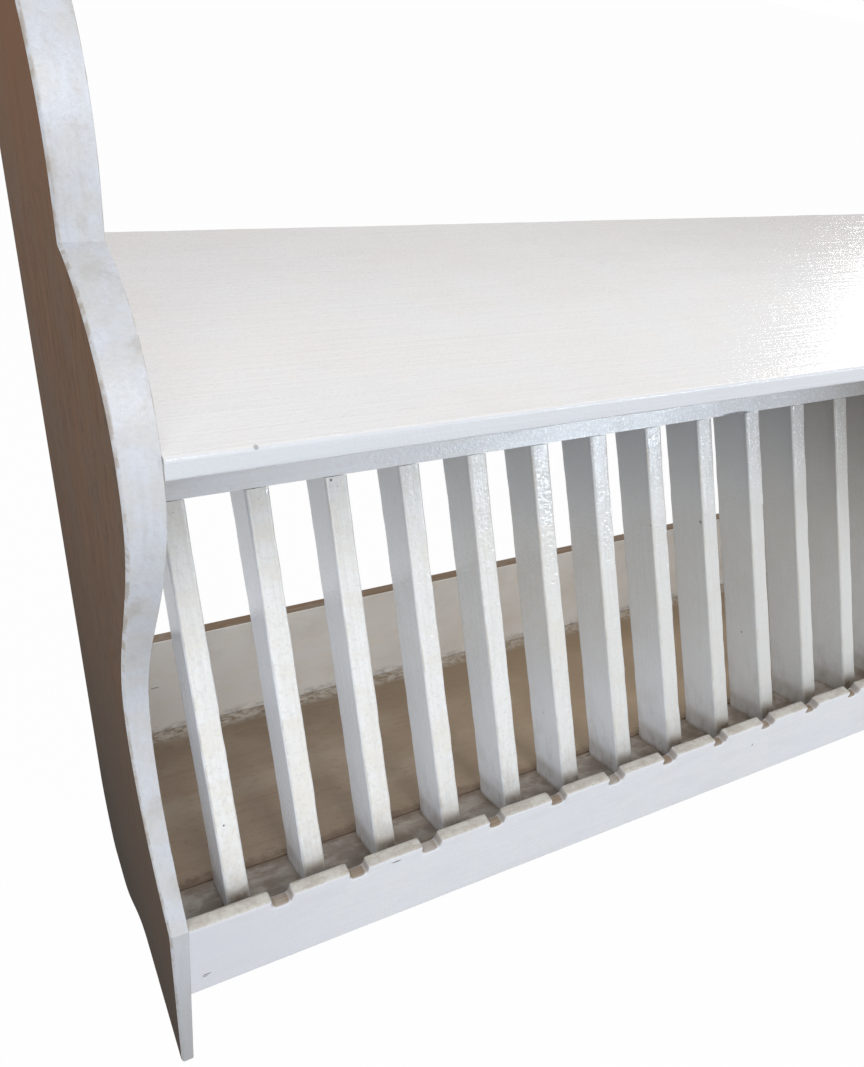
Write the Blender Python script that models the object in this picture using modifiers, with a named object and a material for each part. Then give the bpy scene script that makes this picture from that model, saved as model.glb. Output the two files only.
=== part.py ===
"""Wall plate rack: a leaning slatted grille over a sloping tray, a shelf, and shaped side boards.

Metres, +Z up. X runs along the rack and is centred on it. The wall is the plane Y = 0 and the rack
stands out from it towards -Y. The origin is the middle of the back rail's wall face.
"""

import math

import bmesh
import bpy
from mathutils import Matrix, Vector

# Fits
CLEAR = 0.0003
ARRIS = 0.0014
WORN_ARRIS = 0.0022
CUT_PAST = 0.004

# Grille
SLAT_COUNT = 16
SLAT_PITCH = 0.054
SLAT_WIDTH = 0.0165
SLAT_DEPTH = 0.037
SLAT_LENGTH = 0.272
SLAT_LEAN = math.radians(31.7)
FOOT_SETBACK = 0.0074
END_GAP = 0.031
TOP_RAIL_HEIGHT = 0.042

# Tray
RACK_DEPTH = 0.268
FRONT_RAIL_THICKNESS = 0.010
FRONT_RAIL_HEIGHT = 0.080
BACK_RAIL_THICKNESS = 0.010
BACK_RAIL_HEIGHT = 0.124
BACK_LIP = 0.0038
TRAY_LIP = 0.029
FLOOR_TILT = math.radians(19.3)
FLOOR_THICKNESS = 0.010
SILL_REACH = 0.0455
NOTCH_WIDTH = 0.012
NOTCH_DEPTH = 0.0095
NOTCH_OFFSET = 0.021

# Shelf
SHELF_RISE = 0.112
SHELF_THICKNESS = 0.011
SHELF_DEPTH = 0.2565

# Side boards
SIDE_EAR_THICKNESS = 0.0205
SIDE_TAIL_THICKNESS = 0.0075
EAR_DEPTH = 0.175
EAR_RADIUS = 0.081
EAR_RISE = 0.152
SHOULDER_RISE = 0.054
BELLY_DEPTH = 0.258
BELLY_DROP = 0.025
WAIST_DEPTH = 0.198
WAIST_RISE = 0.125
FRONT_FOOT_DROP = 0.094
FRONT_FOOT_LENGTH = 0.096
TAIL_DROP = 0.108
TAIL_LENGTH = 0.067
TAIL_CORNER_DEPTH = 0.035
TAIL_CORNER_HEIGHT = 0.075
CURVE_STEPS = 10

# Nails
NAIL_RADIUS = 0.0012
NAIL_LENGTH = 0.034
NAIL_SET = 0.0005
BRAD_RADIUS = 0.0009
BRAD_LENGTH = 0.030
BRAD_DROP = 0.008
NAIL_SIDES = 8

# Finishes: base colour, roughness and metallic
PAINT = ((0.80, 0.78, 0.72), 0.35, 0.0)
WORN_PAINT = ((0.62, 0.57, 0.48), 0.5, 0.0)
BARE_WOOD = ((0.30, 0.19, 0.10), 0.6, 0.0)
STEEL = ((0.35, 0.33, 0.31), 0.45, 1.0)

# Derived places
INNER_LENGTH = (SLAT_COUNT - 1) * SLAT_PITCH + SLAT_WIDTH + 2 * END_GAP
INNER_HALF = INNER_LENGTH / 2
UP_SLAT = Vector((0.0, math.sin(SLAT_LEAN), math.cos(SLAT_LEAN)))
INTO_SLAT = Vector((0.0, math.cos(SLAT_LEAN), -math.sin(SLAT_LEAN)))
FLOOR_SLOPE = math.tan(FLOOR_TILT)
FLOOR_DROP = FLOOR_THICKNESS / math.cos(FLOOR_TILT)
FRONT_RAIL_BACK = -RACK_DEPTH + FRONT_RAIL_THICKNESS
BACK_RAIL_FRONT = -BACK_RAIL_THICKNESS
FLOOR_BACK_Z = -BACK_RAIL_HEIGHT / 2 + BACK_LIP + FLOOR_DROP


def floor_z(y):
    """Height of the tray's upper surface at this depth."""
    return FLOOR_BACK_Z - FLOOR_SLOPE * (y - BACK_RAIL_FRONT)


FRONT_RAIL_TOP = floor_z(FRONT_RAIL_BACK) + TRAY_LIP
FRONT_RAIL_BOTTOM = FRONT_RAIL_TOP - FRONT_RAIL_HEIGHT
FOOT_Y = FRONT_RAIL_BACK + FOOT_SETBACK
SLAT_FOOT = Vector((0.0, FOOT_Y, floor_z(FOOT_Y)))
SLAT_TOP = SLAT_FOOT + SLAT_LENGTH * UP_SLAT
SHELF_BOTTOM = SLAT_TOP.z + SHELF_RISE
SHELF_TOP = SHELF_BOTTOM + SHELF_THICKNESS
SILL_BACK = FRONT_RAIL_BACK + SILL_REACH
EAR_TOP = SHELF_TOP + EAR_RISE
TAIL_Z = -BACK_RAIL_HEIGHT / 2 - TAIL_DROP


def clear_scene():
    """Remove every object that the start-up scene holds."""
    for obj in list(bpy.data.objects):
        bpy.data.objects.remove(obj, do_unlink=True)


def new_collection(name, hidden=False):
    """Make a collection in the scene; a hidden one holds cutters."""
    collection = bpy.data.collections.new(name)
    collection.hide_render = hidden
    bpy.context.scene.collection.children.link(collection)
    return collection


def finish(obj, look):
    """Give the object its own Principled material."""
    colour, roughness, metallic = look
    material = bpy.data.materials.new(obj.name + "_finish")
    material.use_nodes = True
    shader = material.node_tree.nodes["Principled BSDF"]
    shader.inputs["Base Color"].default_value = (*colour, 1.0)
    shader.inputs["Roughness"].default_value = roughness
    shader.inputs["Metallic"].default_value = metallic
    obj.data.materials.clear()
    obj.data.materials.append(material)


def curve_points(start, after, before, end, steps=CURVE_STEPS):
    """Points of a cubic curve from start to end, both included."""
    points = []
    for index in range(steps + 1):
        t = index / steps
        s = 1 - t
        y = s**3 * start[0] + 3 * s * s * t * after[0] + 3 * s * t * t * before[0] + t**3 * end[0]
        z = s**3 * start[1] + 3 * s * s * t * after[1] + 3 * s * t * t * before[1] + t**3 * end[1]
        points.append((y, z))
    return points


def arc_points(centre, radius, first, last, steps=CURVE_STEPS):
    """Points of an arc between two angles in degrees, measured from +Y towards +Z."""
    points = []
    for index in range(steps + 1):
        angle = math.radians(first + (last - first) * index / steps)
        points.append((centre[0] + radius * math.cos(angle), centre[1] + radius * math.sin(angle)))
    return points


def outline_solid(name, outline, x_low, x_high, collection, arris=0.0):
    """A closed solid: a flat outline in Y and Z, drawn as a 2D curve and extruded along X."""
    curve = bpy.data.curves.new(name + "_outline", "CURVE")
    curve.dimensions = "2D"
    curve.fill_mode = "BOTH"
    curve.extrude = (x_high - x_low) / 2
    spline = curve.splines.new("POLY")
    spline.points.add(len(outline) - 1)
    for point, (y, z) in zip(spline.points, outline):
        point.co = (y, z, 0.0, 1.0)
    spline.use_cyclic_u = True
    drawn = bpy.data.objects.new(name + "_outline", curve)
    bpy.context.scene.collection.objects.link(drawn)
    bpy.context.view_layer.update()
    graph = bpy.context.evaluated_depsgraph_get()
    mesh = bpy.data.meshes.new_from_object(drawn.evaluated_get(graph))
    mesh.name = name
    bpy.data.objects.remove(drawn, do_unlink=True)
    # The curve's X, Y and Z become Y, Z and X.
    mesh.transform(Matrix(((0, 0, 1, 0), (1, 0, 0, 0), (0, 1, 0, 0), (0, 0, 0, 1))))
    body = bmesh.new()
    body.from_mesh(mesh)
    bmesh.ops.remove_doubles(body, verts=body.verts, dist=0.00001)
    bmesh.ops.dissolve_limit(
        body, angle_limit=math.radians(0.5), verts=body.verts, edges=body.edges
    )
    bmesh.ops.recalc_face_normals(body, faces=body.faces)
    body.to_mesh(mesh)
    body.free()
    mesh.materials.clear()
    obj = bpy.data.objects.new(name, mesh)
    obj.location.x = (x_low + x_high) / 2
    collection.objects.link(obj)
    if arris:
        soften(obj, arris)
    return obj


def soften(obj, width):
    """Round the sharp arrises of a piece."""
    bevel = obj.modifiers.new("arris", "BEVEL")
    bevel.width = width
    bevel.segments = 2
    bevel.limit_method = "ANGLE"
    bevel.angle_limit = math.radians(40)


def cut(obj, cutter):
    """Cut one piece with a cutter."""
    boolean = obj.modifiers.new("cut_" + cutter.name, "BOOLEAN")
    boolean.operation = "DIFFERENCE"
    boolean.solver = "EXACT"
    boolean.object = cutter


def rods(name, ends, radius, collection):
    """Separate straight rods in one mesh, each from its first end to its second."""
    body = bmesh.new()
    for first, last in ends:
        axis = last - first
        turn = axis.to_track_quat("Z", "Y").to_matrix().to_4x4()
        place = Matrix.Translation((first + last) / 2) @ turn
        bmesh.ops.create_cone(
            body,
            cap_ends=True,
            segments=NAIL_SIDES,
            radius1=radius,
            radius2=radius,
            depth=axis.length,
            matrix=place,
        )
    mesh = bpy.data.meshes.new(name)
    body.to_mesh(mesh)
    body.free()
    obj = bpy.data.objects.new(name, mesh)
    collection.objects.link(obj)
    return obj


def fasteners(name, ends, radius, targets, parts, cutters):
    """Nails, each its own object, and their clearance holes in the pieces that they join.

    Each pair of ends runs from the head to the tip. The hole goes on past the head and out of the face.
    """
    holes = []
    for number, (head, tip) in enumerate(ends, start=1):
        nail = rods(f"{name}_{number:02d}", [(head, tip)], radius, parts)
        finish(nail, STEEL)
        along = (tip - head).normalized()
        holes.append((head - CUT_PAST * along, tip + CLEAR * along))
    cutter = rods(name + "_holes", holes, radius + CLEAR, cutters)
    cutter.display_type = "WIRE"
    cutter.hide_render = True
    for target in targets:
        cut(target, cutter)


def rectangle(y_low, y_high, z_low, z_high):
    """Outline of an upright rectangular section."""
    return [(y_low, z_low), (y_high, z_low), (y_high, z_high), (y_low, z_high)]


def tray_strip(y_low, y_high):
    """Outline of a board that lies on the tray's slope, with plumb ends."""
    return [
        (y_low, floor_z(y_low) - FLOOR_DROP),
        (y_high, floor_z(y_high) - FLOOR_DROP),
        (y_high, floor_z(y_high)),
        (y_low, floor_z(y_low)),
    ]


def slat_outline():
    """Outline of one slat: square at the top, cut to the tray's slope at the foot."""
    lift = CLEAR / math.cos(FLOOR_TILT)
    front = SLAT_FOOT + Vector((0.0, 0.0, lift))
    back_top = SLAT_TOP + SLAT_DEPTH * INTO_SLAT
    # The back arris runs down the slat until it meets the slope.
    fall = back_top.z - floor_z(back_top.y) - lift
    rate = UP_SLAT.z + FLOOR_SLOPE * UP_SLAT.y
    back_foot = back_top - UP_SLAT * (fall / rate)
    corners = [front, back_foot, back_top, SLAT_TOP]
    return [(corner.y, corner.z) for corner in corners]


def top_rail_outline():
    """Outline of the rail on the slats' top ends, in the same plane as they are."""
    low_front = SLAT_TOP + CLEAR * UP_SLAT
    high_front = low_front + TOP_RAIL_HEIGHT * UP_SLAT
    corners = [
        low_front,
        low_front + SLAT_DEPTH * INTO_SLAT,
        high_front + SLAT_DEPTH * INTO_SLAT,
        high_front,
    ]
    return [(corner.y, corner.z) for corner in corners]


def side_outline():
    """Outline of a side board: ear, shoulder, belly, waist, front foot and tail."""
    shoulder = (-EAR_DEPTH, SHELF_TOP + SHOULDER_RISE)
    belly = (-BELLY_DEPTH, SHELF_TOP - BELLY_DROP)
    waist = (-WAIST_DEPTH, FRONT_RAIL_TOP + WAIST_RISE)
    hip = (-RACK_DEPTH, FRONT_RAIL_TOP)
    foot_z = FRONT_RAIL_BOTTOM - FRONT_FOOT_DROP
    foot_back = (-RACK_DEPTH + FRONT_FOOT_LENGTH, foot_z)
    tail = (-TAIL_LENGTH, TAIL_Z)
    corner = (-TAIL_CORNER_DEPTH, TAIL_Z)
    corner_top = (0.0, TAIL_Z + TAIL_CORNER_HEIGHT)

    shoulder_height = shoulder[1] - belly[1]
    shoulder_depth = shoulder[0] - belly[0]
    belly_height = belly[1] - waist[1]
    waist_height = waist[1] - hip[1]
    waist_depth = waist[0] - hip[0]
    ogee = foot_back[0] - tail[0]

    points = [(0.0, EAR_TOP)]
    ear_centre = (-EAR_DEPTH + EAR_RADIUS, EAR_TOP - EAR_RADIUS)
    points += arc_points(ear_centre, EAR_RADIUS, 90, 180)
    points += curve_points(
        shoulder,
        (shoulder[0] - 0.54 * shoulder_depth, shoulder[1] - 0.06 * shoulder_height),
        (belly[0], belly[1] + 0.58 * shoulder_height),
        belly,
    )
    points += curve_points(
        belly,
        (belly[0], belly[1] - 0.27 * belly_height),
        (waist[0], waist[1] + 0.32 * belly_height),
        waist,
    )[1:]
    points += curve_points(
        waist,
        (waist[0], waist[1] - 0.42 * waist_height),
        (hip[0] + 0.55 * waist_depth, hip[1] + 0.24 * waist_height),
        hip,
    )[1:]
    points.append((-RACK_DEPTH, foot_z))
    points += curve_points(
        foot_back,
        (foot_back[0] - 0.35 * ogee, foot_z),
        (tail[0] + 0.32 * ogee, TAIL_Z),
        tail,
    )
    points += curve_points(
        corner,
        (corner[0] + 0.45 * TAIL_CORNER_DEPTH, TAIL_Z),
        (0.0, corner_top[1] - 0.36 * TAIL_CORNER_HEIGHT),
        corner_top,
        steps=6,
    )
    return points


def side_thickness(z):
    """Thickness of a side board at this height: stout at the ear, thin at the tail."""
    share = (z - TAIL_Z) / (EAR_TOP - TAIL_Z)
    return SIDE_TAIL_THICKNESS + share * (SIDE_EAR_THICKNESS - SIDE_TAIL_THICKNESS)


def side_board(name, outline, way, collection):
    """A side board: upright inside, with an outer face that leans in towards the tail."""
    middle = way * (INNER_HALF + SIDE_EAR_THICKNESS / 2)
    board = outline_solid(
        name, outline, middle - SIDE_EAR_THICKNESS / 2, middle + SIDE_EAR_THICKNESS / 2, collection
    )
    for vertex in board.data.vertices:
        if vertex.co.x * way > 0:
            vertex.co.x = way * (side_thickness(vertex.co.z) - SIDE_EAR_THICKNESS / 2)
    soften(board, ARRIS)
    return board


def side_nail_places():
    """Where nails go through a side board: the depth and height of each."""
    places = []
    shelf_z = SHELF_BOTTOM + SHELF_THICKNESS / 2
    front_y = FRONT_RAIL_BACK - FRONT_RAIL_THICKNESS / 2
    back_y = BACK_RAIL_FRONT + BACK_RAIL_THICKNESS / 2
    for share in (0.25, 0.75):
        places.append((-SHELF_DEPTH * share, shelf_z))
        places.append((front_y, FRONT_RAIL_TOP - share * FRONT_RAIL_HEIGHT))
        places.append((back_y, BACK_RAIL_HEIGHT * (0.5 - share)))
    rail = SLAT_TOP + TOP_RAIL_HEIGHT / 2 * UP_SLAT + SLAT_DEPTH / 2 * INTO_SLAT
    places.append((rail.y, rail.z))
    floor_y = (BACK_RAIL_FRONT + SILL_BACK) / 2
    places.append((floor_y, floor_z(floor_y) - FLOOR_DROP / 2))
    return places


def slat_x(index):
    """Middle of a slat along the rack."""
    return (index - (SLAT_COUNT - 1) / 2) * SLAT_PITCH


def notch_cutter(cutters):
    """One box for each notch in the front rail's top edge, one notch to a gap between slats."""
    body = bmesh.new()
    deep = FRONT_RAIL_THICKNESS + 2 * CUT_PAST
    high = NOTCH_DEPTH + CUT_PAST
    for index in range(SLAT_COUNT - 1):
        middle = Vector(
            (
                slat_x(index) + NOTCH_OFFSET,
                FRONT_RAIL_BACK - FRONT_RAIL_THICKNESS / 2,
                FRONT_RAIL_TOP - NOTCH_DEPTH + high / 2,
            )
        )
        place = Matrix.Translation(middle) @ Matrix.Diagonal((NOTCH_WIDTH, deep, high, 1.0))
        bmesh.ops.create_cube(body, size=1.0, matrix=place)
    mesh = bpy.data.meshes.new("rail_notches")
    body.to_mesh(mesh)
    body.free()
    obj = bpy.data.objects.new("rail_notches", mesh)
    obj.display_type = "WIRE"
    obj.hide_render = True
    cutters.objects.link(obj)
    return obj


def build():
    """Build every piece of the rack."""
    clear_scene()
    parts = new_collection("plate_rack")
    cutters = new_collection("plate_rack_cutters", hidden=True)
    low = -INNER_HALF + CLEAR
    high = INNER_HALF - CLEAR

    # Side boards
    outline = side_outline()
    left = side_board("left_side", outline, -1, parts)
    right = side_board("right_side", outline, 1, parts)

    # Boards between the sides
    shelf_section = rectangle(-SHELF_DEPTH, 0.0, SHELF_BOTTOM, SHELF_TOP)
    shelf = outline_solid("shelf", shelf_section, low, high, parts, ARRIS)
    top_rail = outline_solid("top_rail", top_rail_outline(), low, high, parts, ARRIS)
    sill_section = tray_strip(FRONT_RAIL_BACK + CLEAR, SILL_BACK)
    sill = outline_solid("slat_sill", sill_section, low, high, parts, ARRIS)
    floor_section = tray_strip(SILL_BACK + CLEAR, BACK_RAIL_FRONT - CLEAR)
    floor = outline_solid("tray_floor", floor_section, low, high, parts, ARRIS)
    front_section = rectangle(-RACK_DEPTH, FRONT_RAIL_BACK, FRONT_RAIL_BOTTOM, FRONT_RAIL_TOP)
    front_rail = outline_solid("front_rail", front_section, low, high, parts)
    cut(front_rail, notch_cutter(cutters))
    soften(front_rail, WORN_ARRIS)
    half_back = BACK_RAIL_HEIGHT / 2
    back_section = rectangle(BACK_RAIL_FRONT, 0.0, -half_back, half_back)
    back_rail = outline_solid("back_rail", back_section, low, high, parts, ARRIS)

    # Slats
    slats = []
    section = slat_outline()
    for index in range(SLAT_COUNT):
        middle = slat_x(index)
        slats.append(
            outline_solid(
                f"slat_{index + 1:02d}",
                section,
                middle - SLAT_WIDTH / 2,
                middle + SLAT_WIDTH / 2,
                parts,
                ARRIS,
            )
        )

    # Nails through the sides
    boards = [shelf, top_rail, floor, front_rail, back_rail]
    for name, side, way in (("left_nail", left, 1), ("right_nail", right, -1)):
        ends = []
        for y, z in side_nail_places():
            head = Vector((-way * (INNER_HALF + side_thickness(z) - NAIL_SET), y, z))
            ends.append((head, head + Vector((way * NAIL_LENGTH, 0.0, 0.0))))
        fasteners(name, ends, NAIL_RADIUS, [side] + boards, parts, cutters)

    # Brads that hold the slats to the rail above them
    ends = []
    rising = (UP_SLAT + INTO_SLAT).normalized()
    for index in range(SLAT_COUNT):
        across = Vector((slat_x(index), 0.0, 0.0))
        head = SLAT_TOP - BRAD_DROP * UP_SLAT + NAIL_SET * rising + across
        ends.append((head, head + BRAD_LENGTH * rising))
    fasteners("slat_brad", ends, BRAD_RADIUS, slats + [top_rail], parts, cutters)

    # Finishes
    for obj in [left, right, shelf, top_rail] + slats:
        finish(obj, PAINT)
    for obj in [sill, front_rail, back_rail]:
        finish(obj, WORN_PAINT)
    finish(floor, BARE_WOOD)


build()
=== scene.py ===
"""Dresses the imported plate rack: brushed white gloss paint over worn wood, in a plain pale studio.

Lengths are in metres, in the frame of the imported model: X along the rack, the wall at Y = 0, Z up.
"""

import logging
import math
from dataclasses import dataclass
from enum import Enum
from typing import Any, Callable, Dict, List, Optional, Sequence, Tuple, Union

import bpy
from mathutils import Euler, Matrix, Vector, noise


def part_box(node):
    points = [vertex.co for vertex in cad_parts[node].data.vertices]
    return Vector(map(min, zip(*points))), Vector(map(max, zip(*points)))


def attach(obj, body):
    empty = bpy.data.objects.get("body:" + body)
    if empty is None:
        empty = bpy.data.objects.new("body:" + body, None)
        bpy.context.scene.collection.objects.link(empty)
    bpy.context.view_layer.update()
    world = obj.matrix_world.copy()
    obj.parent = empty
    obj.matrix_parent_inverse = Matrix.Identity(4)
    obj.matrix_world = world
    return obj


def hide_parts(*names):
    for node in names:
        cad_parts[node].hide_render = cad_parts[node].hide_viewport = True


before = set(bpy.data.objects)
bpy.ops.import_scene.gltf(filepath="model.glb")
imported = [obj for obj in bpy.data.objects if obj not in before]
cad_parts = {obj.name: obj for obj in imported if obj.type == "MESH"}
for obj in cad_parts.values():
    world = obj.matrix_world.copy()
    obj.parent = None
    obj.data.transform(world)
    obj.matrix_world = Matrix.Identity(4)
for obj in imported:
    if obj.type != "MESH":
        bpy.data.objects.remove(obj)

LOG = logging.getLogger("plate_rack")
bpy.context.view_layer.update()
BODY = "root"
VIEW_RAYS = ("Is Camera Ray", "Is Glossy Ray", "Is Transmission Ray")
ARRIS_SEGMENTS = 4
SLAT_LEAN = math.radians(31.7)
NOTCH_DEPTH = 0.0095

Colour = Tuple[float, float, float]
Triple = Tuple[float, float, float]
Point = Tuple[float, float]
Bend = Tuple[Point, Point]
Piece = bpy.types.Object
Mesh = bpy.types.Mesh
Material = bpy.types.Material

# Colours that several finishes share
CREAM: Colour = (0.75, 0.71, 0.645)
GRIME: Colour = (0.25, 0.195, 0.14)
RUBBED: Colour = (0.56, 0.49, 0.40)
# painted shade under the shelf
SHADE: Colour = (0.33, 0.34, 0.36)
# brown painted shadow at the right end
PAINTED_SHADOW: Colour = (0.19, 0.155, 0.11)
# painted glints near the top of the slats and on the top rail
GLINT: Colour = (0.93, 0.95, 0.98)
HOLE: Colour = (0.05, 0.04, 0.035)


class Along(Enum):
    """What a ramp is measured along; each value is the name of a measure of MaterialKit."""

    X = "x"
    Y = "y"
    Z = "z"
    ABOVE_TRAY = "above_tray"
    SIDEWAYS = "sideways"
    FACING_Y = "facing_y"
    FACING_Z = "facing_z"
    SQUARELY = "squarely"


@dataclass(frozen=True)
class Cells:
    """Cells of a noise.

    Attributes:
        size: Size of a cell, or its size along each axis.
        detail: How many finer layers there are.
        roughness: How strong the finer layers are.
        turn: Turn about X, so that the third axis follows a leaning piece.
    """

    size: Union[float, Triple]
    detail: float = 4.0
    roughness: float = 0.6
    turn: float = 0.0


@dataclass(frozen=True)
class Spot:
    """Distance from a point, in units of a size along each axis."""

    place: Triple
    size: Triple


@dataclass(frozen=True)
class Ramp:
    """A smooth step along a measure.

    Attributes:
        along: The measure, a noise, a distance, or a sum of products of other ramps.
        start: Where it starts, above the end for a step that runs backwards.
        end: Where it ends.
        share: What it gives at its end and beyond.
        first: What it gives at its start and before.
        straight: Whether it is an even slope.
        fray: Noise that moves it.
        stray: How far the noise moves it.
    """

    along: Union[Along, Cells, Spot, "Terms"]
    start: float
    end: float
    share: float = 1.0
    first: float = 0.0
    straight: bool = False
    fray: Optional[Cells] = None
    stray: float = 0.0


Terms = Tuple[Tuple[Ramp, ...], ...]


@dataclass(frozen=True)
class Layer:
    """One colour over those before it.

    Attributes:
        colour: The colour, plain or itself layered.
        share: How much of it shows, as a sum of products of ramps.
    """

    colour: Union[Colour, "Blend"]
    share: Terms


@dataclass(frozen=True)
class Blend:
    """A ground colour with layers over it."""

    ground: Colour
    layers: Tuple[Layer, ...]


def cover(colour: Union[Colour, Blend], *ramps: Ramp) -> Layer:
    """A layer whose share is the product of some ramps."""
    return Layer(colour, (ramps,))


def weighed(first: Cells, part: float, second: Cells) -> Terms:
    """Two noises in one, of which the first has the given part."""
    parts = ((first, part), (second, 1.0 - part))
    return tuple((Ramp(cells, 0.0, 1.0, share, straight=True),) for cells, share in parts)


def mark(place: Triple, size: Triple, strength: float = 0.85) -> Layer:
    """One small ragged nick or hole in the paint; the size is half its own along each axis."""
    return cover(HOLE, Ramp(Spot(place, size), 0.90, 0.50, strength, fray=Cells(0.0008, 2.0), stray=0.5))


@dataclass(frozen=True)
class Gloss:
    """How a finish shines.

    Attributes:
        roughness: Roughness of the sound surface.
        specular: Specular level.
        relief: Depth of the brush marks and pits.
        spread: How much the roughness varies from point to point.
        worn: How much rougher it is where the gloss is gone.
    """

    roughness: float = 0.40
    specular: float = 0.45
    relief: float = 0.00024
    spread: float = 0.2
    worn: float = 0.3


class Socket:
    """A shader value that can be used in Python expressions.

    Args:
        kit: The node tree that the value belongs to.
        link: The node socket that gives the value.
    """

    def __init__(self, kit: "NodeKit", link: bpy.types.NodeSocket) -> None:
        self.kit = kit
        self.link = link

    def _math(self, operation: str, first: "Value", second: "Value") -> "Socket":
        """Add one Math node on two values."""
        return self.kit.value("ShaderNodeMath", {"operation": operation}, {0: first, 1: second})

    def __add__(self, other: "Value") -> "Socket":
        """Sum of two values."""
        return self._math("ADD", self, other)

    __radd__ = __add__

    def __mul__(self, other: "Value") -> "Socket":
        """Product of two values."""
        return self._math("MULTIPLY", self, other)

    __rmul__ = __mul__

    def __sub__(self, other: "Value") -> "Socket":
        """This value less another."""
        return self._math("SUBTRACT", self, other)

    def __abs__(self) -> "Socket":
        """The value without its sign."""
        return self._math("ABSOLUTE", self, 0.0)

    def most(self, other: "Value") -> "Socket":
        """The larger of two values."""
        return self._math("MAXIMUM", self, other)

    def swing(self, width: float) -> "Socket":
        """Noise that lies about 0.5, brought to lie about 0."""
        return (self - 0.5) * width

    def parts(self) -> List["Socket"]:
        """The three numbers of a vector."""
        split = self.kit.node("ShaderNodeSeparateXYZ", None, {0: self})
        return [Socket(self.kit, link) for link in split.outputs]


Value = Union[Socket, float]
Paint = Union[Socket, Colour]


def rgba(colour: Paint) -> Any:
    """A colour in the form that a node takes."""
    return colour if isinstance(colour, Socket) else (*colour, 1.0)


class NodeKit:
    """Fills one node tree.

    Args:
        tree: The tree, which is emptied first.
    """

    def __init__(self, tree: bpy.types.NodeTree) -> None:
        """Take over a node tree and empty it."""
        self.tree = tree
        tree.nodes.clear()

    def node(
        self,
        kind: str,
        settings: Optional[Dict[str, Any]] = None,
        sockets: Optional[Dict[Any, Any]] = None,
    ) -> bpy.types.Node:
        """Add a node.

        Args:
            kind: The node's type.
            settings: Attributes that are set before the sockets.
            sockets: Values or links by socket name or number.

        Returns:
            The node.
        """
        node = self.tree.nodes.new(kind)
        for key, value in (settings or {}).items():
            setattr(node, key, value)
        for key, value in (sockets or {}).items():
            if isinstance(value, Socket):
                self.tree.links.new(value.link, node.inputs[key])
            else:
                node.inputs[key].default_value = value
        return node

    def value(self, *node: Any, output: Union[int, str] = 0) -> Socket:
        """Add a node as node() does, and give one of its outputs."""
        return Socket(self, self.node(*node).outputs[output])

    def show(self, lit: Socket, seen: Socket, share: float, output: str) -> None:
        """Show one shader to the camera and another to the rest of the light.

        Args:
            lit: Shader for the rest of the light.
            seen: Shader for what the camera sees, in a mirror and through glass too.
            share: How much of it shows there.
            output: Type of the output node.
        """
        straight, mirrored, through = (self.value("ShaderNodeLightPath", output=ray) for ray in VIEW_RAYS)
        factor = straight.most(mirrored).most(through) * share
        both = self.value("ShaderNodeMixShader", None, {0: factor, 1: lit, 2: seen})
        self.node(output, None, {0: both})


@dataclass(frozen=True)
class TrayPlane:
    """Upper surface of the tray's floor.

    Attributes:
        slope: Fall towards the wall.
        back_y: Depth of the back rail's inner face.
        back_z: Height of the floor there.
    """

    slope: float = math.radians(19.3)
    back_y: float = -0.010
    back_z: float = -0.04760

    def above(self, y: Socket, z: Socket) -> Socket:
        """Height of a point above the floor."""
        fall = math.tan(self.slope)
        return z + y * fall - (self.back_z + self.back_y * fall)


TRAY_PLANE = TrayPlane()


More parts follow.
